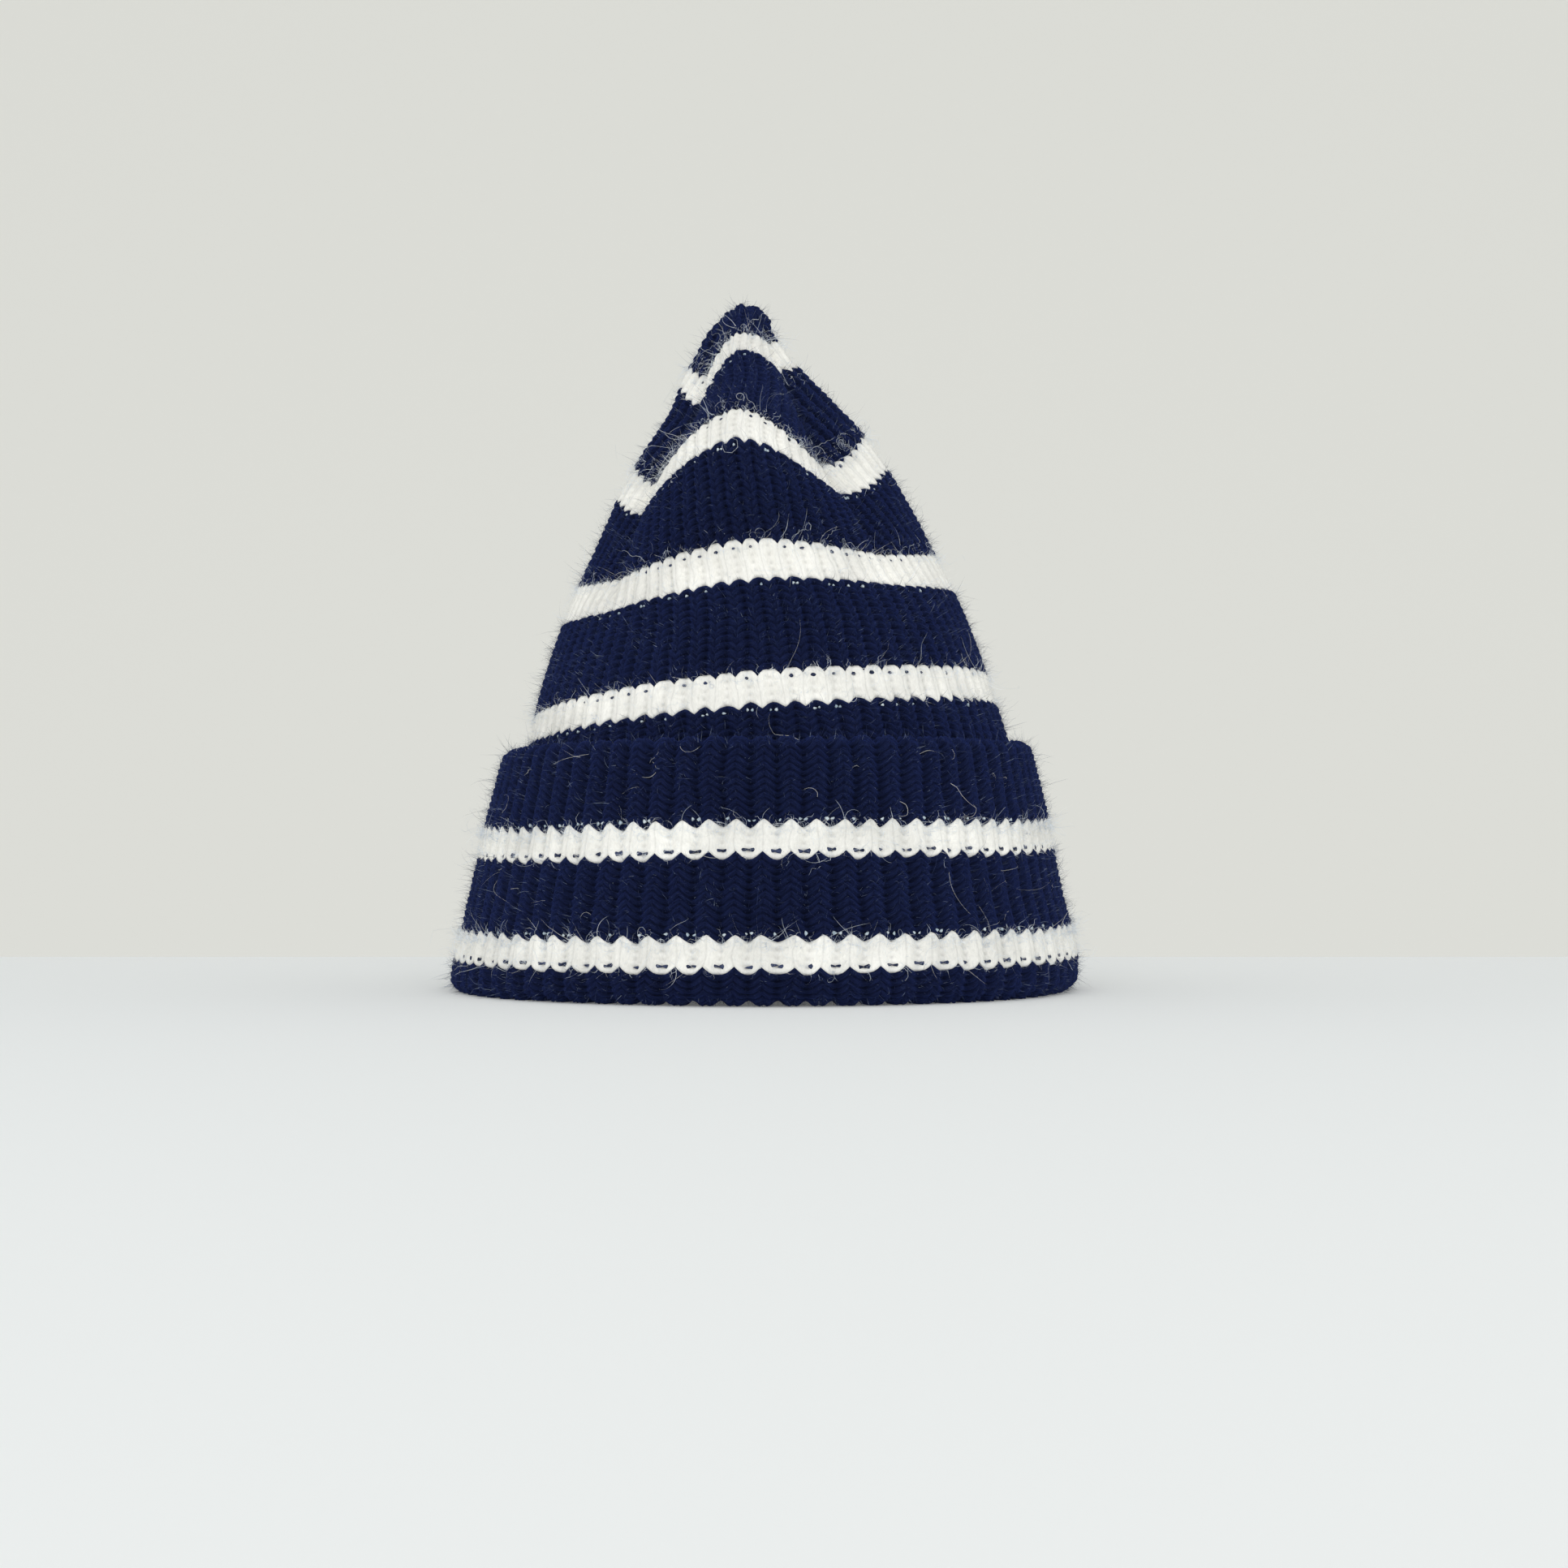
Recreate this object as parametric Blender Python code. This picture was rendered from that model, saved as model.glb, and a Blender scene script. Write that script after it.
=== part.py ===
"""A ribbed wool beanie with white stripes and a turned-up cuff.

Metres, +Z up. The hat stands on its folded hem, the origin is the middle of the hem on the floor,
and the front faces -Y. Rows of the crown are named by their fabric share, 0 at the tip and 1 at the
fold. Places around a row count from the front towards +X: even numbers are the middles of the
crown's panels and odd numbers are the seams between them. Each band of yarn is a closed ring of
its own, ribbed outside and plain inside.
"""
import math

import bmesh
import bpy
import numpy as np

# Overall sizes
HAT_HEIGHT = 0.1958
HEM_WIDTH = 0.180
HEM_DEPTH = 0.180
CUFF_HEIGHT = 0.067

# The knit
KNIT = 0.004            # one layer, from the middle of the ribs' relief to the inner face
RIB_RELIEF = 0.0012     # from a rib's ridge to the valley beside it
RIB_PITCH_AT_REST = 0.0043
PANELS = 4
RIBS_A_PANEL = 19
LAYER_GAP = 0.0015      # between the crown and the cuff turned up around it
JOIN_GAP = 0.0005       # between one band of yarn and the next
FOLD_ROUND = 0.004
HEM_INNER_ROUND = 0.002

# Bands of yarn on the crown, along the fabric from the tip
CROWN_FABRIC = 0.2195
TIP_CAP = 0.0215
CROWN_STRIPE = 0.010
CROWN_BAND = 0.0262
CROWN_STRIPES = 4

# Bands of yarn on the cuff, upwards from the floor
HEM_BAND = 0.0085
CUFF_STRIPE = 0.009
CUFF_BAND = 0.0199

# Facets and rows
INNER_SIDES = 10                        # facets of the plain inner faces, a panel
FEWEST_RIBS = 3                         # a panel, at the gathered tip
TIP_ROWS = (0.16, 0.36, 0.66, 1.0)      # outer rows of the tip, as shares of its length
TIP_INNER_ROWS = (1.0, 0.72, 0.45)
RIBS_END = 0.82                         # the crown's ribs end under the cuff, and it hides a plain
PLAIN_ROW = 0.45                        # row lower down: heights as shares of CUFF_HEIGHT
LEAST_SHARE = 0.01                      # between two rows of the base
POINT = 1e-6                            # half size of a row drawn in to a point

# The crown's outer face under the cuff is this far from the axis at the hem.
TUCK_WIDTH = HEM_WIDTH / 2 - KNIT - LAYER_GAP
TUCK_DEPTH = HEM_DEPTH / 2 - KNIT - LAYER_GAP

# Crown sections. fabric: share of CROWN_FABRIC. height: share of HAT_HEIGHT. width and depth: half
# sizes as shares of TUCK_WIDTH and TUCK_DEPTH. right and back: the section's centre, as shares of
# half the hem. tilt: how much a row rises to the right. pitch: how much it rises to the front.
SECTION_COLUMNS = ("fabric", "height", "width", "depth", "right", "back", "tilt", "pitch")
SECTIONS = (
    (0.000, 1.000, 0.000, 0.000, -0.074, -0.144, 0.170, 0.05),
    (0.023, 0.992, 0.052, 0.054, -0.082, -0.148, 0.170, 0.07),
    (0.068, 0.955, 0.114, 0.133, -0.096, -0.153, 0.170, 0.09),
    (0.121, 0.907, 0.180, 0.207, -0.099, -0.172, 0.160, 0.11),
    (0.173, 0.857, 0.258, 0.290, -0.069, -0.183, 0.140, 0.12),
    (0.228, 0.809, 0.347, 0.391, -0.058, -0.176, 0.130, 0.12),
    (0.286, 0.760, 0.438, 0.497, -0.049, -0.133, 0.115, 0.11),
    (0.360, 0.684, 0.533, 0.606, -0.036, -0.081, 0.100, 0.05),
    (0.451, 0.588, 0.639, 0.686, -0.028, -0.033, 0.090, 0.00),
    (0.538, 0.497, 0.722, 0.769, -0.021, -0.020, 0.085, 0.00),
    (0.615, 0.412, 0.781, 0.834, -0.013, -0.011, 0.075, 0.00),
    (0.683, 0.340, 0.821, 0.876, 0.000, -0.006, 0.050, 0.00),
    (0.820, 0.194, 0.911, 0.935, 0.000, 0.000, 0.000, 0.00),
    (0.961, 0.041, 1.000, 1.000, 0.000, 0.000, 0.000, 0.00),
    (1.000, 0.000, 1.000, 1.000, 0.000, 0.000, 0.000, 0.00),
)

# The crown is closed in panels, and the seams between them are pulled in and down.
# fabric: as above. dent: share of the radius. drop: share of HAT_HEIGHT, and left_drop and
# right_drop are more of it at the front panel's seams. middle, left_seam and right_seam: the front
# panel's middle and edges, measured from the front in half panels.
SEAM_COLUMNS = ("fabric", "dent", "drop", "left_drop", "right_drop", "middle", "left_seam",
                "right_seam")
SEAMS = (
    (0.000, 0.00, 0.000, 0.000, 0.000, 0.00, 1.00, 1.00),
    (0.068, 0.07, 0.008, 0.010, -0.004, 0.07, 0.93, 1.18),
    (0.121, 0.14, 0.022, 0.024, -0.012, 0.10, 0.90, 1.20),
    (0.173, 0.18, 0.038, 0.012, 0.000, 0.00, 1.07, 1.11),
    (0.286, 0.15, 0.054, 0.000, 0.017, -0.11, 1.29, 0.93),
    (0.360, 0.12, 0.033, 0.000, 0.013, -0.09, 1.20, 0.93),
    (0.451, 0.07, 0.013, 0.000, 0.000, -0.04, 1.07, 0.96),
    (0.538, 0.03, 0.003, 0.000, 0.000, 0.00, 1.00, 1.00),
    (0.615, 0.00, 0.000, 0.000, 0.000, 0.00, 1.00, 1.00),
    (1.000, 0.00, 0.000, 0.000, 0.000, 0.00, 1.00, 1.00),
)
DROP_SHARPNESS = 1.5    # higher gives a rounder arch between two seams

NAVY = (0.010, 0.014, 0.075, 1.0)
WHITE = (0.86, 0.86, 0.83, 1.0)
YARN_ROUGHNESS = 0.95

SLOPE_STEP = 0.002      # for slopes read off the surface, in places and in shares of the fabric


def smooth_value(places, values, wanted):
    """A column's value between its rows, by a cubic that never overshoots them."""
    steps = np.diff(places)
    rises = np.diff(values) / steps
    slopes = [rises[0]]
    for before, after in zip(rises, rises[1:]):
        slopes.append(2 * before * after / (before + after) if before * after > 0 else 0.0)
    slopes.append(rises[-1])
    row = int(np.clip(np.searchsorted(places, wanted, side="right") - 1, 0, len(steps) - 1))
    t = (wanted - places[row]) / steps[row]
    start = values[row] * (1 + 2 * t) * (1 - t) ** 2 + slopes[row] * steps[row] * t * (1 - t) ** 2
    end = values[row + 1] * t ** 2 * (3 - 2 * t) - slopes[row + 1] * steps[row] * t ** 2 * (1 - t)
    return start + end


def read_table(table, names, fabric):
    """The table's columns at one fabric share, by name."""
    rows = np.array(table, float)
    return {name: smooth_value(rows[:, 0], rows[:, k], fabric)
            for k, name in enumerate(names) if k > 0}


def oval_radius(angle, half_width, half_depth):
    return 1 / np.hypot(np.sin(angle) / half_width, np.cos(angle) / half_depth)


def crown_row(place, fabric):
    """Points of the crown's outer face on one row, at the places given."""
    section = read_table(SECTIONS, SECTION_COLUMNS, fabric)
    seams = read_table(SEAMS, SEAM_COLUMNS, fabric)
    front = np.array((-seams["left_seam"], seams["middle"], seams["right_seam"]))
    others = np.arange(2, 2 * PANELS - 1)
    knots = np.concatenate(((-2,), front, others, 2 * PANELS + front))
    angle = np.interp(place, np.arange(-2, 2 * PANELS + 2), knots) * math.pi / PANELS
    from_middle = np.abs((place + 1) % 2 - 1) * math.pi / 2
    radius = oval_radius(angle, max(section["width"] * TUCK_WIDTH, POINT),
                         max(section["depth"] * TUCK_DEPTH, POINT))
    radius *= 1 - seams["dent"] * (1 - np.cos(from_middle))
    right = radius * np.sin(angle)
    back = -radius * np.cos(angle)
    height = section["height"] * HAT_HEIGHT + section["tilt"] * right - section["pitch"] * back
    turn = np.mod(place, 2 * PANELS)
    drop = (seams["drop"] + seams["right_drop"] * (turn < 2)
            + seams["left_drop"] * (turn > 2 * PANELS - 2))
    height -= drop * HAT_HEIGHT * np.sin(from_middle) ** DROP_SHARPNESS
    return np.stack((section["right"] * HEM_WIDTH / 2 + right,
                     section["back"] * HEM_DEPTH / 2 + back, height), axis=1)


def crown_normal(place, fabric):
    """Unit vectors out of the crown's outer face on one row."""
    low = max(fabric - SLOPE_STEP, SLOPE_STEP / 2)
    high = min(fabric + SLOPE_STEP, 1.0)
    along = crown_row(place, high) - crown_row(place, low)
    around = crown_row(place + SLOPE_STEP, fabric) - crown_row(place - SLOPE_STEP, fabric)
    normal = np.cross(along, around)
    return normal / np.linalg.norm(normal, axis=1, keepdims=True)


def fabric_at_height(height):
    """The fabric share where the middle of the crown's section reaches a height."""
    rows = np.array(SECTIONS, float)
    return float(np.interp(height / HAT_HEIGHT, rows[::-1, 1], rows[::-1, 0]))


def loop_places(ribs):
    """Places around a loop: 2 a rib, from ridge to valley, or the few of a plain face."""
    count = 2 * ribs if ribs else INNER_SIDES * PANELS
    return np.arange(count) * 2 * PANELS / count


def relief(ribs):
    """A ridge on every even point of a ribbed loop and a valley on every odd one."""
    return RIB_RELIEF / 2 * np.where(np.arange(2 * ribs) % 2 == 0, 1, -1) if ribs else 0.0


def crown_loop(fabric, depth=0.0, ribs=0):
    """One row of the crown, ribbed or plain, at a depth under its outer face."""
    place = loop_places(ribs)
    out = np.ones(len(place)) * (relief(ribs) - depth)
    return crown_row(place, fabric) + crown_normal(place, fabric) * out[:, None]


def level_loop(height, out, ribs=0, shift=0.0):
    """A level loop at a distance out of the crown's plain oval, moved up or down by shift."""
    angle = loop_places(ribs) * math.pi / PANELS
    section = read_table(SECTIONS, SECTION_COLUMNS, fabric_at_height(height))
    radius = oval_radius(angle, section["width"] * TUCK_WIDTH, section["depth"] * TUCK_DEPTH)
    radius += out + relief(ribs)
    return np.stack((section["right"] * HEM_WIDTH / 2 + radius * np.sin(angle),
                     section["back"] * HEM_DEPTH / 2 - radius * np.cos(angle),
                     np.full(len(angle), height + shift)), axis=1)


def zip_loops(mesh, first, second):
    """Triangles between two closed loops of vertices that start at the same angle."""
    a, b = len(first), len(second)
    i = j = 0
    while i < a or j < b:
        if j == b or (i < a and (i + 1) * b <= (j + 1) * a):
            mesh.faces.new((first[i], first[(i + 1) % a], second[j % b]))
            i += 1
        else:
            mesh.faces.new((first[i % a], second[(j + 1) % b], second[j]))
            j += 1


def close_loop(mesh, loop, point):
    """Triangles from a loop of vertices to one point over or under it."""
    tip = mesh.verts.new(point)
    for i in range(len(loop)):
        mesh.faces.new((loop[i], loop[(i + 1) % len(loop)], tip))


def solid_of_loops(name, loops, material, collection, tips=()):
    """One closed body through a row of loops: a ring, or with two tips a shell over a dome."""
    mesh = bmesh.new()
    rows = [[mesh.verts.new(point) for point in loop] for loop in loops]
    for above, below in zip(rows, rows[1:]):
        zip_loops(mesh, above, below)
    if len(tips) == 2:
        close_loop(mesh, rows[0], tips[0])
        close_loop(mesh, rows[-1], tips[1])
    else:
        zip_loops(mesh, rows[0], rows[-1])
    bmesh.ops.recalc_face_normals(mesh, faces=mesh.faces)
    data = bpy.data.meshes.new(name)
    mesh.to_mesh(data)
    mesh.free()
    data.materials.append(material)
    data.shade_smooth()
    data.set_sharp_from_angle(angle=math.radians(50))
    thing = bpy.data.objects.new(name, data)
    collection.objects.link(thing)
    return thing


def yarn(name, colour):
    material = bpy.data.materials.new(name)
    material.use_nodes = True
    shader = material.node_tree.nodes["Principled BSDF"]
    shader.inputs["Base Color"].default_value = colour
    shader.inputs["Roughness"].default_value = YARN_ROUGHNESS
    return material


def ribs_at(fabric):
    """Ribs around a row: all of them, or as many as fit it unstretched, an odd number a panel."""
    row = crown_row(loop_places(RIBS_A_PANEL * PANELS), fabric)
    around = np.linalg.norm(row - np.roll(row, 1, axis=0), axis=1).sum()
    a_panel = min(int(around / RIB_PITCH_AT_REST / PANELS), RIBS_A_PANEL)
    return PANELS * max(a_panel - (a_panel + 1) % 2, FEWEST_RIBS)


def crown_ring(name, start, end, rows, material, collection):
    """A band of the crown from one distance along the fabric to another."""
    nominal = np.linspace(start, end, rows + 1) / CROWN_FABRIC
    shares = np.linspace(start + JOIN_GAP / 2, end - JOIN_GAP / 2, rows + 1) / CROWN_FABRIC
    loops = [crown_loop(share, ribs=ribs_at(place)) for share, place in zip(shares, nominal)]
    loops += [crown_loop(share, depth=KNIT) for share in shares[::-1]]
    return solid_of_loops(name, loops, material, collection)


def crown_tip(material, collection):
    """The gathered tip: a dome whose ribs start below its smooth top."""
    end = (TIP_CAP - JOIN_GAP / 2) / CROWN_FABRIC
    ribs = ribs_at(TIP_CAP / CROWN_FABRIC)
    shares = end * np.array(TIP_ROWS)
    outer = [crown_loop(shares[0])] + [crown_loop(share, ribs=ribs) for share in shares[1:]]
    inner = [crown_loop(end * share, depth=KNIT) for share in TIP_INNER_ROWS]
    top = crown_row(np.zeros(1), 0.0)[0]
    under = top - np.array((0, 0, KNIT))
    return solid_of_loops("crown_tip", outer + inner, material, collection, (top, under))


def cuff_ring(name, low, high, material, collection):
    """A band of the cuff's outer layer between two heights."""
    ribs = RIBS_A_PANEL * PANELS
    heights = (high - JOIN_GAP / 2, low + JOIN_GAP / 2)
    outer = [level_loop(height, LAYER_GAP + KNIT, ribs) for height in heights]
    inner = [level_loop(height, LAYER_GAP) for height in heights[::-1]]
    return solid_of_loops(name, outer + inner, material, collection)


def cuff_edge(low, material, collection):
    """The cuff's top band, with the rounded edge where the knitting began."""
    ribs = RIBS_A_PANEL * PANELS
    round_start = CUFF_HEIGHT - KNIT / 2
    middle = LAYER_GAP + KNIT / 2
    loops = [level_loop(low + JOIN_GAP / 2, LAYER_GAP + KNIT, ribs),
             level_loop(round_start, LAYER_GAP + KNIT, ribs)]
    for turn in (math.pi / 4, math.pi / 2, math.pi * 3 / 4):
        loops.append(level_loop(round_start, middle + KNIT / 2 * math.cos(turn),
                                ribs if turn < math.pi / 2 else 0, KNIT / 2 * math.sin(turn)))
    loops += [level_loop(round_start, LAYER_GAP), level_loop(low + JOIN_GAP / 2, LAYER_GAP)]
    return solid_of_loops("cuff_edge", loops, material, collection)


def crown_base(start, material, collection):
    """From the last stripe down inside the cuff, around the fold and up to the cuff's first stripe."""
    ribs = RIBS_A_PANEL * PANELS
    top = (start + JOIN_GAP / 2) / CROWN_FABRIC
    under_edge = max(fabric_at_height(CUFF_HEIGHT * RIBS_END), top + LEAST_SHARE)
    middle_height = CUFF_HEIGHT * PLAIN_ROW
    outside = LAYER_GAP + KNIT
    corner = FOLD_ROUND * (1 - math.sqrt(0.5))
    inner_corner = HEM_INNER_ROUND * (1 - math.sqrt(0.5))
    hem_top = HEM_BAND - JOIN_GAP / 2
    loops = [
        crown_loop(top, ribs=ribs),
        crown_loop(under_edge, ribs=ribs),
        level_loop(middle_height, 0.0),
        level_loop(KNIT, 0.0),
        level_loop(KNIT, LAYER_GAP),
        level_loop(hem_top, LAYER_GAP),
        level_loop(hem_top, outside, ribs),
        level_loop(FOLD_ROUND, outside, ribs),
        level_loop(corner, outside - corner, ribs),
        level_loop(0.0, outside - FOLD_ROUND),
        level_loop(0.0, HEM_INNER_ROUND - KNIT),
        level_loop(inner_corner, inner_corner - KNIT),
        level_loop(HEM_INNER_ROUND, -KNIT),
        level_loop(middle_height, -KNIT),
        crown_loop(under_edge, depth=KNIT),
        crown_loop(top, depth=KNIT),
    ]
    return solid_of_loops("crown_base", loops, material, collection)


def main():
    for thing in list(bpy.data.objects):
        bpy.data.objects.remove(thing, do_unlink=True)
    collection = bpy.data.collections.new("striped_beanie")
    bpy.context.scene.collection.children.link(collection)
    navy = yarn("navy_wool", NAVY)
    white = yarn("white_wool", WHITE)

    crown_tip(navy, collection)
    start = TIP_CAP
    for number in range(1, CROWN_STRIPES + 1):
        crown_ring(f"crown_stripe_{number}", start, start + CROWN_STRIPE, 1, white, collection)
        start += CROWN_STRIPE
        if number < CROWN_STRIPES:
            crown_ring(f"crown_band_{number}", start, start + CROWN_BAND, 2, navy, collection)
            start += CROWN_BAND
    crown_base(start, navy, collection)

    low = HEM_BAND
    cuff_ring("cuff_stripe_lower", low, low + CUFF_STRIPE, white, collection)
    low += CUFF_STRIPE
    cuff_ring("cuff_band", low, low + CUFF_BAND, navy, collection)
    low += CUFF_BAND
    cuff_ring("cuff_stripe_upper", low, low + CUFF_STRIPE, white, collection)
    cuff_edge(low + CUFF_STRIPE, navy, collection)


main()
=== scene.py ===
"""The looks of a ribbed wool beanie: stitches, fibres, yarn materials, stage, light and camera.

Metres, +Z up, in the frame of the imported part. The hat's surface repeats the part's sizes and
tables. Every knitted row is made of ribs: two slanted legs meet in a knit column, and a purl column
of short bars lies in the valley beside it. The fabric runs from the tip of the crown down to the
fold and then up the cuff, so the stitches point down on the crown and up on the cuff.
"""
import math
from collections import namedtuple

import bpy
import numpy as np
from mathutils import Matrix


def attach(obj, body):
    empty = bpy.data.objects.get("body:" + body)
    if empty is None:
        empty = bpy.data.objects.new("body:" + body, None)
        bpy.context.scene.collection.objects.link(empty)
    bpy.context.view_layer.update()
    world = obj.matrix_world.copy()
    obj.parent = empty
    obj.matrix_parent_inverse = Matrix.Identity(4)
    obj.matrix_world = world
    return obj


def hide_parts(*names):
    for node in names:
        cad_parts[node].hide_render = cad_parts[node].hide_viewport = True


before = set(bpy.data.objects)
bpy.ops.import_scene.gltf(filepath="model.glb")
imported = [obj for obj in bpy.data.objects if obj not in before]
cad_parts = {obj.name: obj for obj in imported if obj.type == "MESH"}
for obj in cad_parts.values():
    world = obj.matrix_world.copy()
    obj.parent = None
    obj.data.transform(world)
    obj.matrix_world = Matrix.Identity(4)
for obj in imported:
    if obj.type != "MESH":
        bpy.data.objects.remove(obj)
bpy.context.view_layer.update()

# Sizes and tables of the part, in metres
HAT_HEIGHT = 0.1958
HEM_WIDTH = 0.180
HEM_DEPTH = 0.180
CUFF_HEIGHT = 0.067
KNIT = 0.004
RIB_PITCH_AT_REST = 0.0043
PANELS = 4
RIBS_A_PANEL = 19
LAYER_GAP = 0.0015
FOLD_ROUND = 0.004
HEM_INNER_ROUND = 0.002
CROWN_FABRIC = 0.2195
TIP_CAP = 0.0215
CROWN_STRIPE = 0.010
CROWN_BAND = 0.0262
CROWN_STRIPES = 4
HEM_BAND = 0.0085
CUFF_STRIPE = 0.009
CUFF_BAND = 0.0199
TUCK_WIDTH = HEM_WIDTH / 2 - KNIT - LAYER_GAP
TUCK_DEPTH = HEM_DEPTH / 2 - KNIT - LAYER_GAP
SECTION_COLUMNS = ("fabric", "height", "width", "depth", "right", "back", "tilt", "pitch")
SECTIONS = (
    (0.000, 1.000, 0.000, 0.000, -0.074, -0.144, 0.170, 0.05),
    (0.023, 0.992, 0.052, 0.054, -0.082, -0.148, 0.170, 0.07),
    (0.068, 0.955, 0.114, 0.133, -0.096, -0.153, 0.170, 0.09),
    (0.121, 0.907, 0.180, 0.207, -0.099, -0.172, 0.160, 0.11),
    (0.173, 0.857, 0.258, 0.290, -0.069, -0.183, 0.140, 0.12),
    (0.228, 0.809, 0.347, 0.391, -0.058, -0.176, 0.130, 0.12),
    (0.286, 0.760, 0.438, 0.497, -0.049, -0.133, 0.115, 0.11),
    (0.360, 0.684, 0.533, 0.606, -0.036, -0.081, 0.100, 0.05),
    (0.451, 0.588, 0.639, 0.686, -0.028, -0.033, 0.090, 0.00),
    (0.538, 0.497, 0.722, 0.769, -0.021, -0.020, 0.085, 0.00),
    (0.615, 0.412, 0.781, 0.834, -0.013, -0.011, 0.075, 0.00),
    (0.683, 0.340, 0.821, 0.876, 0.000, -0.006, 0.050, 0.00),
    (0.820, 0.194, 0.911, 0.935, 0.000, 0.000, 0.000, 0.00),
    (0.961, 0.041, 1.000, 1.000, 0.000, 0.000, 0.000, 0.00),
    (1.000, 0.000, 1.000, 1.000, 0.000, 0.000, 0.000, 0.00),
)
SEAM_COLUMNS = ("fabric", "dent", "drop", "left_drop", "right_drop", "middle", "left_seam",
                "right_seam")
SEAMS = (
    (0.000, 0.00, 0.000, 0.000, 0.000, 0.00, 1.00, 1.00),
    (0.068, 0.07, 0.008, 0.010, -0.004, 0.07, 0.93, 1.18),
    (0.121, 0.14, 0.022, 0.024, -0.012, 0.10, 0.90, 1.20),
    (0.173, 0.18, 0.038, 0.012, 0.000, 0.00, 1.07, 1.11),
    (0.286, 0.15, 0.054, 0.000, 0.017, -0.11, 1.29, 0.93),
    (0.360, 0.12, 0.033, 0.000, 0.013, -0.09, 1.20, 0.93),
    (0.451, 0.07, 0.013, 0.000, 0.000, -0.04, 1.07, 0.96),
    (0.538, 0.03, 0.003, 0.000, 0.000, 0.00, 1.00, 1.00),
    (0.615, 0.00, 0.000, 0.000, 0.000, 0.00, 1.00, 1.00),
    (1.000, 0.00, 0.000, 0.000, 0.000, 0.00, 1.00, 1.00),
)
DROP_SHARPNESS = 1.5
POINT = 1e-6

# One rib across, from the middle of its knit column to the middle of the next purl column.
# across: share of the rib. ridge: share of RIB_RELIEF. lobe and peak: share of CHEVRON, by which a
# row runs against the fabric, where a white stripe starts and where it ends. leg and bar: how much of
# the rows' own relief shows there.
ACROSS_COLUMNS = ("across", "ridge", "lobe", "peak", "leg", "bar")
ACROSS = (
    (0.00, 0.80, 0.00, 0.00, 0.45, 0.0),
    (0.12, 1.00, 0.40, 0.24, 1.00, 0.0),
    (0.25, 0.78, 0.76, 0.60, 0.95, 0.0),
    (0.38, 0.26, 0.95, 0.87, 0.40, 0.6),
    (0.50, 0.00, 1.00, 1.00, 0.00, 1.0),
)
# One row along the fabric. start: share of the row. leg and bar: height, as shares of their relief.
ALONG_COLUMNS = ("start", "leg", "bar")
ALONG = (
    (0.00, -1.0, -1.0),
    (0.30, 0.6, 0.8),
    (0.68, 1.0, 0.7),
)
RIB_RELIEF = 0.0013
LEG_RELIEF = 0.00036
BAR_RELIEF = 0.00030
CHEVRON = 0.0019
ROW_ON_CROWN = 0.00215    # nearest height of a row, before a band takes whole rows
ROW_ON_CUFF = 0.00188
PLAIN_ROW = 0.012         # rows of the faces that hardly show
WHITE_LEG = 0.00005       # relief of the white rows, which look flatter
TIP_START = 0.0004        # the tip's first grid line
TIP_HOLLOW = 0.45         # share of the tip's length where its inner face ends
BASE_DETAIL = 0.152       # the crown's rows are knitted out down to here, behind the cuff
SLOT_END = 0.006          # how far above the fold the slot between crown and cuff ends
INNER_RIDGE = 0.0006
PLACES_A_PANEL = 121      # where a panel's arc is measured
SLOPE_STEP = 0.0004       # for slopes read off the surface, along the fabric
PLACE_STEP = 0.002        # and in places around it
LEAST_DISTANCE = 0.0001   # from the tip
TIP_SMOOTH = 0.006        # the stitches start this far from the tip
SAME = 1e-7               # points this close are one
SOFT_RIBS = 9             # ribs, and steps of the random values, to one soft dent
GROOVE_START = 0.03       # the seams' grooves are full this far from the tip
DENTS_START = 0.02        # and so are the slow ups and downs
DRIFT_FADE = 6            # how sharply the ribs' wander fades towards a seam

# How far the gathers push the two sides out, by the height.
SIDE_COLUMNS = ("height", "left", "right")
SIDES = (
    (0.000, -0.0003, -0.0015),
    (0.009, -0.0018, -0.0012),
    (0.019, -0.0028, -0.0021),
    (0.025, -0.0021, -0.0024),
    (0.036, -0.0010, -0.0012),
    (0.050, -0.0002, 0.0000),
    (0.064, -0.0001, 0.0004),
    (0.074, -0.0008, -0.0001),
    (0.112, -0.0010, -0.0004),
    (0.126, -0.0016, -0.0012),
    (0.154, -0.0022, -0.0019),
    (0.171, -0.0021, -0.0018),
    (0.182, -0.0020, -0.0008),
    (0.185, -0.0014, -0.0013),
    (0.188, -0.0010, -0.0006),
    (0.191, -0.0018, 0.0011),
    (0.196, 0.0000, 0.0000),
)
TIP_SINK = 0.0008         # by which the gathers hold the tip down
TIP_SINK_END = 0.020      # along the fabric
# The first stripe's upper edge sags on the left.
SAG = 0.0035
SAG_PLACES = (-3.4, -2, -0.6)
SAG_DISTANCE = (0.010, TIP_CAP, TIP_CAP + CROWN_STRIPE)
# How far down the crown's rows slide, by the distance along the fabric.
SLIDE_COLUMNS = ("distance", "left", "middle", "right")
SLIDES = (
    (0.0215, 0.0000, 0.0000, 0.0000),
    (0.0315, 0.0000, -0.0014, 0.0000),
    (0.0500, 0.0000, 0.0000, 0.0000),
    (0.0900, 0.0005, 0.0000, 0.0012),
    (0.1040, 0.0008, 0.0000, 0.0012),
    (0.1290, 0.0022, 0.0000, 0.0003),
    (0.1410, 0.0022, 0.0000, -0.0005),
    (0.1600, 0.0000, 0.0000, 0.0000),
)
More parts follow.
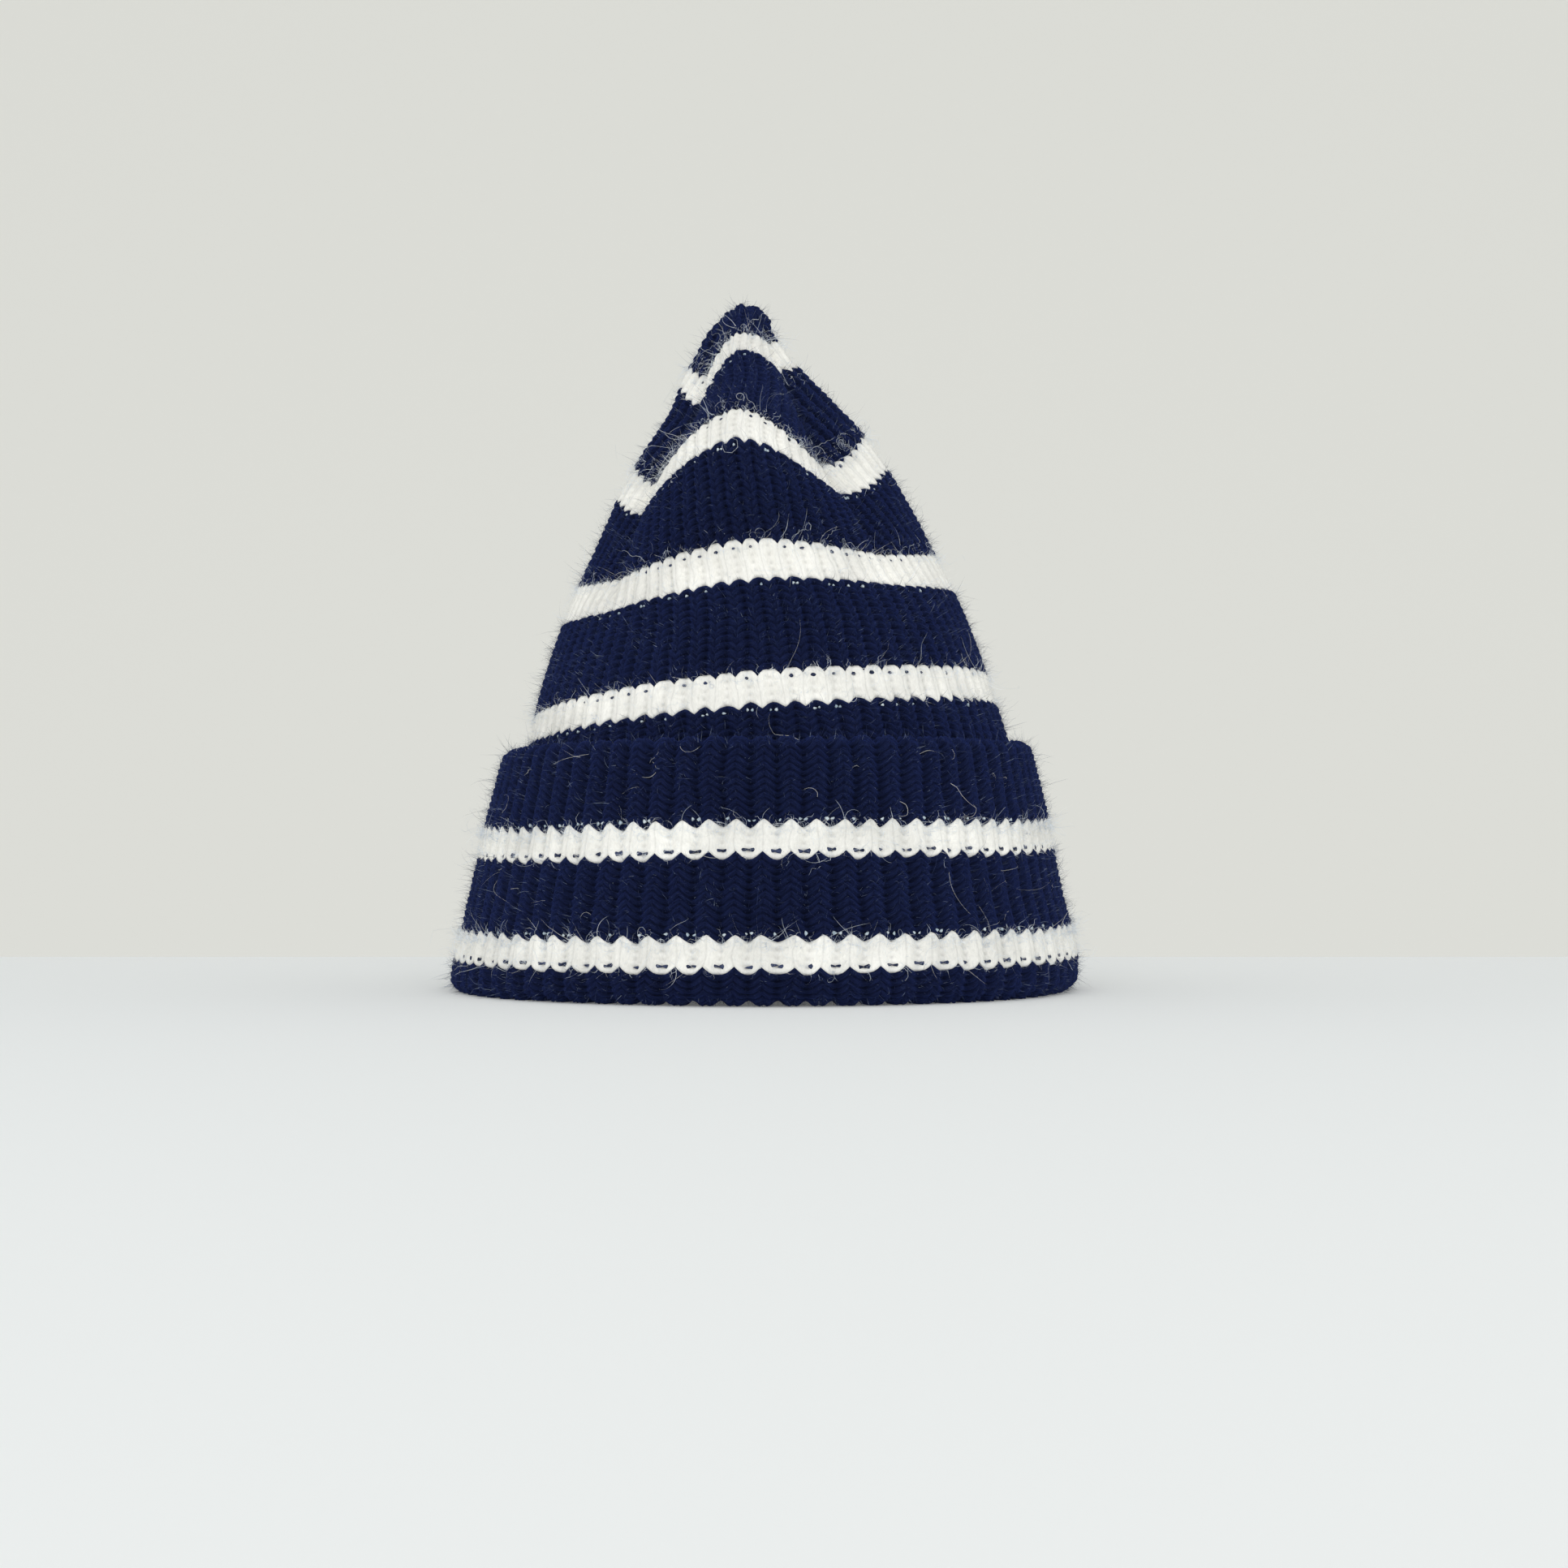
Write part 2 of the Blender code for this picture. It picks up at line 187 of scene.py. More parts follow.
# How far up the cuff's rows stand, by their height.
LIFT_COLUMNS = ("height", "left", "front_left", "front_right", "right")
LIFTS = (
    (0.000, 0.0000, 0.0000, 0.0000, 0.0000),
    (0.013, 0.0000, -0.0004, 0.0006, 0.0012),
    (0.042, -0.0006, -0.0016, 0.0006, 0.0020),
    (0.067, 0.0000, 0.0000, 0.0008, 0.0026),
)
# Places around the hat of the columns after the first: 0 is the front, 2 the right side.
LIFT_PLACES = (-2, -1, 1, 2)
# By how much the white of each stripe starts late and ends early
CROWN_TRIMS = (0.0006, 0.0, -0.0005, 0.0006)
CUFF_TRIM = 0.0005

# Loops of the yarn before, beside a change of colour. size: around, along and out of the cloth.
# missing: share of them. sides: grid columns that have one, from a purl column's middle.
Loop = namedtuple("Loop", "size missing sides", defaults=((-1, 1),))
LOOPS = {
    "navy_loops_crown": Loop((0.0020, 0.0013, 0.0010), 0.12, sides=(0,)),
    "navy_loops_cuff": Loop((0.0028, 0.0013, 0.0010), 0.08),
    "white_loops_crown": Loop((0.0013, 0.0011, 0.0009), 0.60),
    "white_loops_cuff": Loop((0.0014, 0.0013, 0.0009), 0.30),
}
GRAIN_SIDES = 6
GRAIN_LEVELS = (0.5, -0.5)
GRAIN_ROWS = 3            # grid lines from the edge, one whole row
GRAIN_ASIDE = 0.1         # share of the way to the next grid column in the valley
GRAIN_LIFT = 0.0003
GRAIN_JITTER = 0.00010
GRAIN_SCALE = (0.55, 1.1)
GRAIN_FLARE = 0.8         # how much taller a loop is on its outer end
LEAST_GRAIN_ROOM = 0.0010
LEAST_FREE = 0.9          # no loops nearer to a seam or the tip than this

# Kinds of fibre, in metres and degrees. lifted: least and most angle off the cloth. curl: spread of
# the turn along a fibre, or the most of it where there is a least. steps: of its path. width: least
# and most. clear: height kept over its root. evenness: higher for lengths more alike. longest: no
# fibre is longer. aside: spread of the headings about the way out of a stripe, or 0 for any heading.
# rows: grid rows at the two ends of a face that have roots, or 0 for all.
Hair = namedtuple("Hair", "count length lifted curl steps width clear evenness longest aside rows "
                  "least_curl", defaults=(0.0009, 3, 1, 0, 0, 0))
HAIRS = {
    "navy_fuzz_crown": Hair(32000, 0.0023, (15, 80), 70, 2, (6e-5, 10e-5), clear=0.00012),
    "navy_fuzz_cuff": Hair(26000, 0.0023, (15, 80), 70, 2, (6e-5, 10e-5), clear=0.00012),
    "white_fuzz": Hair(13500, 0.0026, (45, 90), 100, 3, (4e-5, 8e-5)),
    "white_fringe": Hair(9500, 0.0042, (0, 65), 560, 8, (6e-5, 10e-5), evenness=2.5, aside=100, rows=4),
    "white_tangles": Hair(900, 0.0060, (0, 25), 560, 10, (6e-5, 10e-5), evenness=2.5, aside=100, rows=5),
    "pale_halo": Hair(15000, 0.0022, (66, 90), 50, 3, (5e-5, 10e-5)),
    "stray_hairs": Hair(190, 0.010, (8, 42), 260, 12, (4e-5, 8e-5), longest=0.018, least_curl=60),
}
FRINGE_BELOW = 0.30       # how thick the fringe is under a stripe, as a share of that above it
BASE_LINES = 12           # grid lines of the crown's base that show above the cuff
CURL_FLATNESS = 1.2       # higher keeps the curls in the cloth's plane
STRAND_REACH = 0.008      # most height over its root
STRAND_TAPER = 0.45
FLOOR_CLEAR = 0.00012

# Yarn. valley: the yarn's colour darkened as painted shade between the ribs, in valleys of this width in
# ribs.
# row_shade and leg_shade: share of the colour left by the painted shade between two rows and between
# a column's legs. streak: how fine the streaks are around and along. contrast: of the streaks. dot: how
# much darker the dots between stitches are, painted shadows where the valleys meet the lines between
# rows.
Wool = namedtuple("Wool", "colour valley width sheen tint bump row_shade leg_shade streak contrast dot")
NAVY_WOOL = Wool(colour=(0.0074, 0.0118, 0.042), valley=(0.0046, 0.0075, 0.026), width=0.32,
                 sheen=0.18, tint=(0.12, 0.22, 1.0), bump=0.8, row_shade=0.58, leg_shade=0.80,
                 streak=(5.0, 11.0), contrast=0.80, dot=0.35)
WHITE_WOOL = Wool(colour=(0.875, 0.86, 0.803), valley=(0.85, 0.836, 0.788), width=0.16,
                  sheen=0.15, tint=(1.0, 0.99, 0.95), bump=0.2, row_shade=0.99, leg_shade=0.88,
                  streak=(12.0, 1.5), contrast=0.09, dot=0.13)
ROW_LINE = 0.28           # reach of the shade between rows, in rows
LEG_LINE = 0.06           # and between legs, in ribs
# DOT_WIDTH and DOT_HEIGHT: reach of the painted shadow dots, in ribs and in rows
DOT_WIDTH = 0.14
DOT_HEIGHT = 0.35
NOISE_RANGE = (0.3, 0.7)  # where nearly all of a noise's values lie
CLOUDS = (0.9, 1.1)
CLOUD_SCALE = 60.0
NAP_SCALE = 900.0
NAP_RELIEF = 0.0004
# Single fibres. dark and light: their colours, by a noise that is light from pale_from up.
Fibre = namedtuple("Fibre", "slot dark light pale_from", defaults=(0.35,))
FIBRES = {
    "speck_fibre": Fibre("white_wool", (0.38, 0.48, 0.55), (0.70, 0.78, 0.81)),
    "dash_fibre": Fibre("navy_wool", (0.012, 0.018, 0.045), (0.05, 0.065, 0.13)),
    # navy_fibre and pale_fibre: their light colours, paler than the navy yarn, are painted sheen of fine
    # fibres; the halo's are also partly paler fibres.
    "navy_fibre": Fibre("navy_wool", (0.007, 0.011, 0.042), (0.050, 0.073, 0.17), 0.38),
    "white_fibre": Fibre("white_wool", (0.76, 0.755, 0.72), (0.90, 0.885, 0.83)),
    "fringe_fibre": Fibre("white_wool", (0.55, 0.62, 0.72), (0.90, 0.94, 0.97)),
    "pale_fibre": Fibre("navy_wool", (0.03, 0.045, 0.12), (0.45, 0.53, 0.65), 0.46),
}
PALE_REACH = 0.3
FIBRE_SCALE = 250.0

# Stage. The floor is a table top whose back edge is near, and the wall stands well behind it.
STAGE_SIDE = 9.0
TABLE_FRONT = -2.0
TABLE_BACK = 0.2206
TABLE_EDGE = 0.04
WALL_BACK = 1.6
WALL_FOOT = -1.0
WALL_TOP = 2.5
FLOOR_PAINT = (0.82, 0.835, 0.825)
# FLOOR_GLOW and WALL_GLOW: painted light, the floor and the wall glow in their own colour; the floor's
# glow also lights the hat from below.
FLOOR_GLOW = 0.13
WALL_PAINT = (0.518, 0.515, 0.479)
WALL_GLOW = 0.45
PAINT_SPREAD = 0.01
PAINT_SCALE = 2.0
SKY = (0.96, 0.98, 1.0)
SKY_STRENGTH = 0.96
SKY_TOP = 0.63            # share of it straight above
LAMP_PLACE = (0.02, -1.70, 0.6)
LAMP_TURN = (73, 0, 1)
LAMP_SIZE = 1.5
LAMP_POWER = 12.2
CAMERA_PLACE = (0.0052, -0.634, 0.0345)
CAMERA_TURN = (92.2, 0, 0)
LENS = 50.3
SENSOR_WIDTH = 36

# Unevenness of the knitting
RANDOM_SEED = 7
WANDER_ROWS = 120         # random values along the fabric
WANDER_STEP = 0.004       # and the way between two of them
RIB_WANDER = 0.09         # share of a rib
ROW_WANDER = 0.00022
CHEVRON_WANDER = 0.20     # share
RELIEF_WANDER = 0.15      # share
SOFT_DENT = 0.0005        # slow ups and downs of the cloth
SEAM_GROOVE = 0.0009
SEAM_WIDTH = 0.0012

RIBS = PANELS * RIBS_A_PANEL
COLUMNS_A_RIB = 2 * (len(ACROSS) - 1)   # grid columns, from one purl middle to the next
COLUMNS = RIBS * COLUMNS_A_RIB
random = np.random.default_rng(RANDOM_SEED)
WANDER = dict(zip(("rib", "chevron", "row", "relief"), random.uniform(-1, 1, (4, WANDER_ROWS, RIBS))))
Lines = namedtuple("Lines", "distance row leg bar")
Face = namedtuple("Face", "points normals stitches free")
Seeds = namedtuple("Seeds", "root facing down outwards")
Hat = namedtuple("Hat", "dark stripes base hem lower band upper edge")

# The cuff's path starts at distance 0 where its outer face stands on the fold's round. Upwards it
# goes over the top edge and down inside the cuff, and backwards under the hem and up inside the hat.
OUTSIDE = LAYER_GAP + KNIT
EDGE_ROUND = KNIT / 2
EDGE_START = CUFF_HEIGHT - EDGE_ROUND - FOLD_ROUND
EDGE_END = EDGE_START + math.pi * EDGE_ROUND
FOLD_END = -math.pi / 2 * FOLD_ROUND
FLAT_END = FOLD_END - (OUTSIDE - FOLD_ROUND + KNIT - HEM_INNER_ROUND)
HEM_END = FLAT_END - math.pi / 2 * HEM_INNER_ROUND

# Where the colour changes, to white and back in turn, along the crown and up the cuff
CROWN_CHANGES = np.ravel([(TIP_CAP + number * (CROWN_STRIPE + CROWN_BAND) + trim,
                           TIP_CAP + number * (CROWN_STRIPE + CROWN_BAND) + CROWN_STRIPE - trim)
                          for number, trim in enumerate(CROWN_TRIMS)])
CUFF_CHANGES = np.ravel([(low - FOLD_ROUND + CUFF_TRIM, low - FOLD_ROUND + CUFF_STRIPE - CUFF_TRIM)
                         for low in (HEM_BAND, HEM_BAND + CUFF_STRIPE + CUFF_BAND)])


def smooth_value(places, values, wanted):
    """A column's values between its rows, by a cubic that never overshoots them."""
    steps = np.diff(places)
    rises = np.diff(values) / steps
    slopes = [rises[0]]
    for before, after in zip(rises, rises[1:]):
        slopes.append(2 * before * after / (before + after) if before * after > 0 else 0.0)
    slopes = np.array(slopes + [rises[-1]])
    row = np.clip(np.searchsorted(places, wanted, side="right") - 1, 0, len(steps) - 1)
    t = (wanted - places[row]) / steps[row]
    start = values[row] * (1 + 2 * t) * (1 - t) ** 2 + slopes[row] * steps[row] * t * (1 - t) ** 2
    end = values[row + 1] * t ** 2 * (3 - 2 * t) - slopes[row + 1] * steps[row] * t ** 2 * (1 - t)
    return start + end


def straight_value(places, values, wanted):
    """A column's values between its rows, by straight lines."""
    return np.interp(wanted, places, values)


def read_table(table, names, wanted, value=smooth_value):
    """The table's columns at many values of its first one, by name."""
    rows = np.array(table, float)
    return {name: value(rows[:, 0], rows[:, k], wanted) for k, name in enumerate(names) if k > 0}


def column(table, names, name):
    """One column of the table by its name."""
    return np.array([row[names.index(name)] for row in table], float)


def unit(vectors):
    return vectors / np.maximum(np.linalg.norm(vectors, axis=-1, keepdims=True), POINT ** 2)


def smooth_step(x):
    x = np.clip(x, 0, 1)
    return x * x * (3 - 2 * x)


def oval_radius(angle, half_width, half_depth):
    return 1 / np.hypot(np.sin(angle) / half_width, np.cos(angle) / half_depth)


def from_front(place):
    """The same place around the hat, counted from the front's middle to both sides."""
    return np.mod(place + PANELS, 2 * PANELS) - PANELS


def near(place, knot):
    """1 at one place around the hat, falling to 0 at the places before and after it."""
    return np.clip(1 - np.abs(from_front(place - knot)), 0, 1)


def crown_point(place, distance):
    """Points of the crown's outer face, from places around it and distances along the fabric."""
    fabric = np.clip(distance / CROWN_FABRIC, 0.0, 1.0)
    section = read_table(SECTIONS, SECTION_COLUMNS, fabric)
    seams = read_table(SEAMS, SEAM_COLUMNS, fabric)
    angle = (place + (1 - seams["left_seam"]) * near(place, -1) + seams["middle"] * near(place, 0)
             + (seams["right_seam"] - 1) * near(place, 1)) * math.pi / PANELS
    from_middle = np.abs((place + 1) % 2 - 1) * math.pi / 2
    radius = oval_radius(angle, np.maximum(section["width"] * TUCK_WIDTH, POINT),
                         np.maximum(section["depth"] * TUCK_DEPTH, POINT))
    radius = radius * (1 - seams["dent"] * (1 - np.cos(from_middle)))
    right = radius * np.sin(angle)
    back = -radius * np.cos(angle)
    height = section["height"] * HAT_HEIGHT + section["tilt"] * right - section["pitch"] * back
    turn = np.mod(place, 2 * PANELS)
    drop = (seams["drop"] + seams["right_drop"] * (turn < 2)
            + seams["left_drop"] * (turn > 2 * PANELS - 2))
    height = height - drop * HAT_HEIGHT * np.sin(from_middle) ** DROP_SHARPNESS
    return np.stack((section["right"] * HEM_WIDTH / 2 + right,
                     section["back"] * HEM_DEPTH / 2 + back, height), axis=-1)


def level_point(place, out, height):
    """Points at a height, a distance out of the crown's plain oval there."""
    rows = np.array(SECTIONS, float)
    fabric = np.interp(height / HAT_HEIGHT, rows[::-1, 1], rows[::-1, 0])
    section = read_table(SECTIONS, SECTION_COLUMNS, fabric)
    angle = place * math.pi / PANELS
    radius = oval_radius(angle, section["width"] * TUCK_WIDTH, section["depth"] * TUCK_DEPTH) + out
    return np.stack((section["right"] * HEM_WIDTH / 2 + radius * np.sin(angle),
                     section["back"] * HEM_DEPTH / 2 - radius * np.cos(angle), height), axis=-1)


def cuff_point(place, distance):
    """Points of the cuff's faces and the hem, from places around and distances along its path."""
    edge_turn = np.clip((distance - EDGE_START) / EDGE_ROUND, 0, math.pi)
    fold_turn = np.clip(-distance / FOLD_ROUND, 0, math.pi / 2)
    hem_turn = np.clip((FLAT_END - distance) / HEM_INNER_ROUND, 0, math.pi / 2)
    out = (OUTSIDE - EDGE_ROUND * (1 - np.cos(edge_turn)) - FOLD_ROUND * (1 - np.cos(fold_turn))
           - np.clip(FOLD_END - distance, 0, FOLD_END - FLAT_END)
           - HEM_INNER_ROUND * np.sin(hem_turn))
    height = (FOLD_ROUND + np.clip(distance, 0, EDGE_START) + EDGE_ROUND * np.sin(edge_turn)
              - np.clip(distance - EDGE_END, 0, None) - FOLD_ROUND * np.sin(fold_turn)
              + HEM_INNER_ROUND * (1 - np.cos(hem_turn)) + np.clip(HEM_END - distance, 0, None))
    return level_point(place, out, height)


def normals(surface, place, distance):
    """Unit vectors out of the hat on its outer faces, and into it on the inner ones."""
    low = distance - SLOPE_STEP
    if surface is crown_point:
        low = np.maximum(low, LEAST_DISTANCE)
    along = surface(place, distance + SLOPE_STEP) - surface(place, low)
    around = surface(place + PLACE_STEP, distance) - surface(place - PLACE_STEP, distance)
    normal = np.cross(along, around) if surface is crown_point else np.cross(around, along)
    return unit(normal)


def column_ribs():
    """Ribs from the middle of a panel to each of its grid columns, both seams included."""
    across = column(ACROSS, ACROSS_COLUMNS, "across")
    one = np.concatenate((-across[::-1], across[1:-1]))
    middles = np.arange(RIBS_A_PANEL) - (RIBS_A_PANEL - 1) / 2
    return np.append(np.add.outer(middles, one).ravel(), RIBS_A_PANEL / 2)


def wander(kind, ribs, distance):
    """Smooth random values from -1 to 1, around the hat and along the fabric."""
    turn = np.mod(ribs, RIBS)
    step = distance / WANDER_STEP + WANDER_ROWS / 4
    rib = np.floor(turn).astype(int)
    row = np.floor(step).astype(int)
    to_rib = smooth_step(turn - rib)
    to_row = smooth_step(step - row)
    field = WANDER[kind]
    low = field[row, rib % RIBS] * (1 - to_rib) + field[row, (rib + 1) % RIBS] * to_rib
    high = field[row + 1, rib % RIBS] * (1 - to_rib) + field[row + 1, (rib + 1) % RIBS] * to_rib
    return low * (1 - to_row) + high * to_row


def rib_drift(turn, distance, edge):
    """How far a rib wanders aside, in ribs. edge: how near it is to its panel's seam, up to 1."""
    return RIB_WANDER * wander("rib", turn, distance) * (1 - edge ** DRIFT_FADE)


def panel_layout(panel, ribs, distances):
    """One crown panel's grid. Its ribs keep a least width, so towards the tip they end at the seams.

    Gives each grid point's place, its ribs from the panel's middle, its way to the nearest seam,
    and how much of a seam there is.
    """
    sweep = 2 * panel + np.linspace(-1, 1, PLACES_A_PANEL)
    points = crown_point(sweep[None, :], distances[:, None])
    steps = np.linalg.norm(np.diff(points, axis=1), axis=2)
    along = np.concatenate((np.zeros((len(distances), 1)), np.cumsum(steps, axis=1)), axis=1)
    length = along[:, -1:]
    pitch = np.maximum(length / RIBS_A_PANEL, RIB_PITCH_AT_REST)
    reach = length / 2 / pitch
    held = np.clip(ribs[None, :], -reach, reach)
    edge = np.abs(held) / np.maximum(reach, POINT)
    drift = rib_drift(held + panel * RIBS_A_PANEL, distances[:, None], edge)
    where = length / 2 + (held + drift) * pitch
    place = np.stack([np.interp(*line, sweep) for line in zip(where, along)])
    seam = np.broadcast_to(np.clip(RIBS_A_PANEL / 2 - reach, 0, 1), held.shape)
    return place, held, (reach - np.abs(held)) * pitch, seam


def crown_layout(distances):
    """The crown's grid, its panels side by side."""
    ribs = column_ribs()
    panels = [panel_layout(panel, ribs, distances) for panel in range(PANELS)]
    return [np.stack(parts, axis=1) for parts in zip(*panels)]


def cuff_layout(distances):
    """The cuff's grid, with all ribs all the way and no seams."""
    ribs = column_ribs()
    rib = np.broadcast_to(ribs, (len(distances), PANELS, len(ribs))).copy()
    panel = np.arange(PANELS)[None, :, None]
    edge = np.abs(rib) * 2 / RIBS_A_PANEL
    drift = rib_drift(rib + panel * RIBS_A_PANEL, distances[:, None, None], edge)
    place = 2 * panel + (rib + drift) * 2 / RIBS_A_PANEL
    return place, rib, np.ones(rib.shape), np.zeros(rib.shape)


def join_panels(values):
    """One ring of grid columns from the panels' own, which share the columns at their seams."""
    seams = (values[:, :, 0] + np.roll(values[:, :, -1], 1, axis=1)) / 2
    values = values[:, :, :-1].copy()
    values[:, :, 0] = seams
    return values.reshape(len(values), COLUMNS, *values.shape[3:])


def join_stitches(values):
    """The panels' stitch coordinates side by side, with one column more to close the ring."""
    return np.concatenate([values[:, panel, :-1] for panel in range(PANELS)] + [values[:, -1, -1:]],
                          axis=1)


def row_shift(surface, profile, turn, line):
    """How far a row runs down the fabric on its knit columns and up it on the purl ones."""
    changes = CROWN_CHANGES if surface is crown_point else CUFF_CHANGES
    late = np.interp(line, changes, np.arange(len(changes)) % 2)
    chevron = profile["lobe"] * (1 - late) + profile["peak"] * late
    swing = CHEVRON * (chevron - 0.5) * (1 + CHEVRON_WANDER * wander("chevron", turn, line))
    return ROW_WANDER * wander("row", turn, line) - swing


def outer_relief(profile, lines, leg_relief, turn, line, free):
    """The stitches' height. free: 0 where a seam or the tip flattens them, 1 elsewhere."""
    height = RIB_RELIEF * (profile["ridge"] - 0.5)
    height = height + leg_relief * profile["leg"] * lines.leg[:, None, None]
    height = height + BAR_RELIEF * profile["bar"] * lines.bar[:, None, None]
    height = height * (1 + RELIEF_WANDER * wander("relief", turn, line)) * free
    return height - SEAM_GROOVE * (1 - free) * smooth_step(line / GROOVE_START)


def soft_dents(surface, turn, line):
    """Slow ups and downs of the cloth, with the tip held down and the hem drawn in."""
    dents = SOFT_DENT * wander("row", turn / SOFT_RIBS, line / SOFT_RIBS)
    if surface is crown_point:
        dents = dents * smooth_step(line / DENTS_START)
        return dents - TIP_SINK * (1 - smooth_step(line / TIP_SINK_END))
    return dents - RIB_RELIEF / 2 * smooth_step(-line / FOLD_ROUND)


def knitted(surface, lines, leg_relief=LEG_RELIEF, depth=0.0):
    """A face of knitting along its grid lines. With a depth it is that far under the outer face."""
    layout = crown_layout if surface is crown_point else cuff_layout
    place, rib, to_seam, seam = layout(lines.distance)
    line = lines.distance[:, None, None]
    turn = rib + (np.arange(PANELS)[None, :, None] + 0.5) * RIBS_A_PANEL
    profile = read_table(ACROSS, ACROSS_COLUMNS, np.abs(rib - np.round(rib)), straight_value)
    free = 1 - seam * np.exp(-(to_seam / SEAM_WIDTH) ** 2)
    shift = row_shift(surface, profile, turn, line) * free
    if surface is crown_point:
        free = free * smooth_step(line / TIP_SMOOTH)
        shift = shift * smooth_step(line / TIP_SMOOTH) + sag(place, line) + slide(place, line)
    if depth:
        height = -depth - INNER_RIDGE * (profile["ridge"] - 0.5)
    else:
        height = outer_relief(profile, lines, leg_relief, turn, line, free)
    height = height + soft_dents(surface, turn, line)
    facing = normals(surface, place, line + shift)
    points = surface(place, line + shift) + facing * height[..., None]
    points[..., 0] += side_push(place, points[..., 2])
    if surface is cuff_point:
        points[..., 2] += lift(place, points[..., 2])
    points = join_panels(points)
    points[..., 2] = np.maximum(points[..., 2], 0.0)
    rows = np.broadcast_to(lines.row[:, None, None], turn.shape)
    return Face(points, unit(join_panels(facing)), join_stitches(np.stack((turn, rows), axis=-1)),
                join_panels(free))


def side_push(place, height):
    """How far the hat's sides stand further right, at places around it."""
    push = read_table(SIDES, SIDE_COLUMNS, height, straight_value)
    aside = np.sin(place * math.pi / PANELS)
    return np.where(aside > 0, push["right"], -push["left"]) * aside ** 2


def sag(place, line):
    """How far the first stripe's upper edge hangs further down."""
    share = (np.interp(from_front(place), SAG_PLACES, (0, 1, 0))
             * np.interp(line, SAG_DISTANCE, (0, 1, 0)))
    return SAG * share


def slide(place, line):
    """How far the crown's rows lie further down, at places around it."""
    down = read_table(SLIDES, SLIDE_COLUMNS, line, straight_value)
    aside = np.sin(place * math.pi / PANELS)
    return (np.where(aside > 0, down["right"], down["left"]) * aside ** 2
            + down["middle"] * (1 - aside ** 2) ** 2)


def lift(place, height):
    """How far the cuff's rows stand further up, at places around it."""
    around = from_front(place)
    reach = np.where(np.abs(around) > LIFT_PLACES[-1], PANELS - LIFT_PLACES[-1], 1)
    amounts = read_table(LIFTS, LIFT_COLUMNS, height, straight_value).values()
    return sum(amount * smooth_step(1 - np.abs(around - at) / reach)
               for at, amount in zip(LIFT_PLACES, amounts))


def row_lines(start, end, row):
    """Grid lines of the whole rows that fill a band."""
    rows = max(round((end - start) / row), 1)
    begin, leg, bar = (column(ALONG, ALONG_COLUMNS, name) for name in ALONG_COLUMNS)
    count = np.append((np.arange(rows)[:, None] + begin[None, :]).ravel(), rows)
    return Lines(start + (end - start) / rows * count, count,
                 np.append(np.tile(leg, rows), leg[0]), np.append(np.tile(bar, rows), bar[0]))


def plain_lines(start, end):
    """Grid lines of a face that hardly shows, from one distance to another either way."""
    count = max(math.ceil(abs(end - start) / PLAIN_ROW), 1)
    distance = np.linspace(start, end, count + 1)
    return Lines(distance, distance / ROW_ON_CROWN, np.zeros(count + 1), np.zeros(count + 1))


def flipped(face):
    """The face with its lines the other way round."""
    return Face(*(part[::-1] for part in face))


def fan(point):
    """A grid line drawn in to one point."""
    return Face(np.broadcast_to(point, (1, COLUMNS, 3)), None, np.zeros((1, COLUMNS + 1, 2)), None)


def make_mesh(name, vertices, loops, sizes, material):
    """A piece of the hat from arrays: its faces' corner numbers in a row, and their sizes."""
    data = bpy.data.meshes.new(name)
    data.vertices.add(len(vertices))
    data.vertices.foreach_set("co", vertices.astype(np.float32).ravel())
    data.loops.add(len(loops))
    data.loops.foreach_set("vertex_index", loops.astype(np.int32))
    data.polygons.add(len(sizes))
    starts = np.concatenate(([0], np.cumsum(sizes)[:-1]))
    data.polygons.foreach_set("loop_start", starts.astype(np.int32))
    data.update(calc_edges=True)
    data.materials.append(material)
    thing = bpy.data.objects.new(name, data)
    bpy.context.scene.collection.objects.link(thing)
    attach(thing, "root")
    return thing


def merged(points):
    """The points without doubles, and the number that each old point has among them."""
    keys = np.round(points / SAME).astype(np.int64)
    _, first, number = np.unique(keys, axis=0, return_index=True, return_inverse=True)
    return points[first], number.ravel()


def knit_piece(node, faces, material, closed=True):
    """One closed piece of knitting through the grid lines of its faces, in place of a CAD node."""
    points = np.concatenate([face.points for face in faces])
    stitches = np.concatenate([face.stitches for face in faces])
    a = np.arange(len(points) if closed else len(points) - 1)[:, None]
    b = (a + 1) % len(points)
    left = np.arange(COLUMNS)[None, :]
    right = (left + 1) % COLUMNS
    corners = np.stack((a * COLUMNS + left, b * COLUMNS + left, b * COLUMNS + right,
                        a * COLUMNS + right), axis=-1).reshape(-1, 4)
    a, b = a * (COLUMNS + 1) + left, b * (COLUMNS + 1) + left
    places = np.stack((a, b, b + 1, a + 1), axis=-1).reshape(-1, 4)
    vertices, number = merged(points.reshape(-1, 3))
    corners = number[corners]
    same = corners == np.roll(corners, -1, axis=1)
    folded = (corners[:, 0] == corners[:, 2]) | (corners[:, 1] == corners[:, 3])
    kept = (same.sum(axis=1) < 2) & ~folded
    corners, places, same = corners[kept], places[kept], same[kept]
    thing = make_mesh(node + "_knit", vertices, corners[~same], 4 - same.sum(axis=1), material)
    layer = thing.data.uv_layers.new(name="stitches")
    layer.data.foreach_set("uv", stitches.reshape(-1, 2)[places[~same]].astype(np.float32).ravel())
    thing.data.shade_smooth()
    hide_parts(node)


def crown_tip(end, material):
    outer = knitted(crown_point, row_lines(TIP_START, end, ROW_ON_CROWN))
    inner = knitted(crown_point, plain_lines(end, TIP_CAP * TIP_HOLLOW), depth=KNIT)
    top = crown_point(np.zeros(1), np.zeros(1))[0]
    faces = [fan(top), outer, inner, fan(top - (0, 0, KNIT))]
    knit_piece("crown_tip", faces, material, closed=False)
    return outer


def crown_band(node, start, end, material, leg_relief):
    outer = knitted(crown_point, row_lines(start, end, ROW_ON_CROWN), leg_relief)
    inner = knitted(crown_point, plain_lines(end, start), depth=KNIT)
    knit_piece(node, [outer, inner], material)
    return outer


